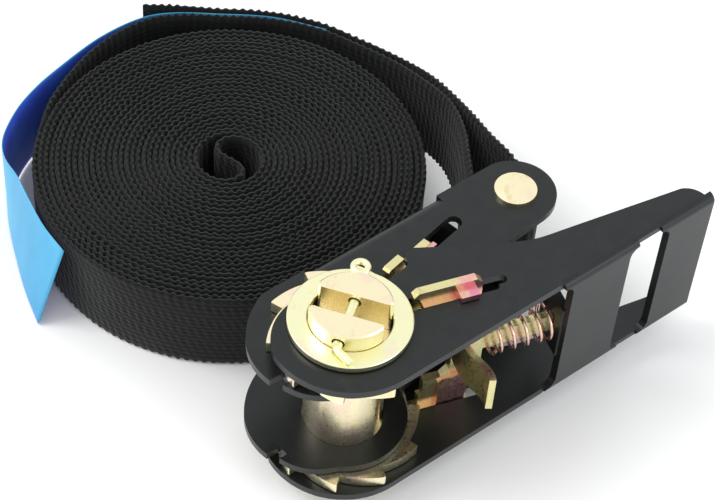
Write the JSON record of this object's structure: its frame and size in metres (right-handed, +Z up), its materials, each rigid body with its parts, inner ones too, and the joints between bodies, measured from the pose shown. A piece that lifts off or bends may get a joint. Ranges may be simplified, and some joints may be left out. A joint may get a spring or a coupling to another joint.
{
  "type": "ratchet strap",
  "caption": "Ratchet buckle lying on its side with folded lever, split drum, toothed wheels and two sprung pawls, beside its roll of narrow webbing with a sewn label.",
  "frame": {"origin": "centre of the footprint, on the floor", "axes": "+Z up along the drum axis, +Y from the buckle towards the webbing roll, +X from the drum towards the rivet"},
  "size_m": [0.1134, 0.1637, 0.0552],
  "materials": {
    "black_plate": "satin black",
    "gold_zinc": "yellow chromate zinc plating",
    "spring_steel": "drawn wire",
    "webbing": "woven polyester",
    "label": "printed ribbon"
  },
  "bodies": {
    "frame": {"buckle_frame": "black_plate", "end_rivet": "gold_zinc", "rivet_sleeve": "gold_zinc", "webbing_roll": "webbing", "webbing_tail": "webbing", "sewn_label": "label"},
    "lock_pawl": {"lock_pawl": "gold_zinc", "lock_pawl_doubler": "gold_zinc", "lock_spring": "spring_steel"},
    "handle": {"handle": "black_plate"},
    "drive_pawl": {"drive_pawl": "gold_zinc", "drive_pawl_doubler": "gold_zinc", "drive_spring": "spring_steel"},
    "drum": {"mandrel_front": "gold_zinc", "mandrel_back": "gold_zinc", "ratchet_wheel_upper": "gold_zinc", "ratchet_wheel_lower": "gold_zinc", "washer_upper": "gold_zinc", "washer_lower": "gold_zinc", "cotter_pin_upper": "spring_steel", "cotter_pin_lower": "spring_steel"}
  },
  "joints": [
    {"name": "handle_hinge", "type": "hinge", "parent": "frame", "child": "handle", "pos_m": [-0.03528, -0.04311, 0.0276], "axis": [0, 0, -1], "range_deg": [0, 165]},
    {"name": "drum_spin", "type": "hinge", "parent": "frame", "child": "drum", "pos_m": [-0.03528, -0.04311, 0.0276], "axis": [0, 0, 1], "continuous": true},
    {"name": "drive_pawl_slide", "type": "slide", "parent": "handle", "child": "drive_pawl", "axis": [0.8767, -0.481, 0], "range_m": [0, 0.0035], "stiffness_N_per_m": 1500, "springref_m": -0.004, "deforming": ["drive_spring"]},
    {"name": "lock_pawl_slide", "type": "slide", "parent": "frame", "child": "lock_pawl", "axis": [1, 0, 0], "range_m": [0, 0.003], "stiffness_N_per_m": 1500, "springref_m": -0.004, "deforming": ["lock_spring"]}
  ]
}
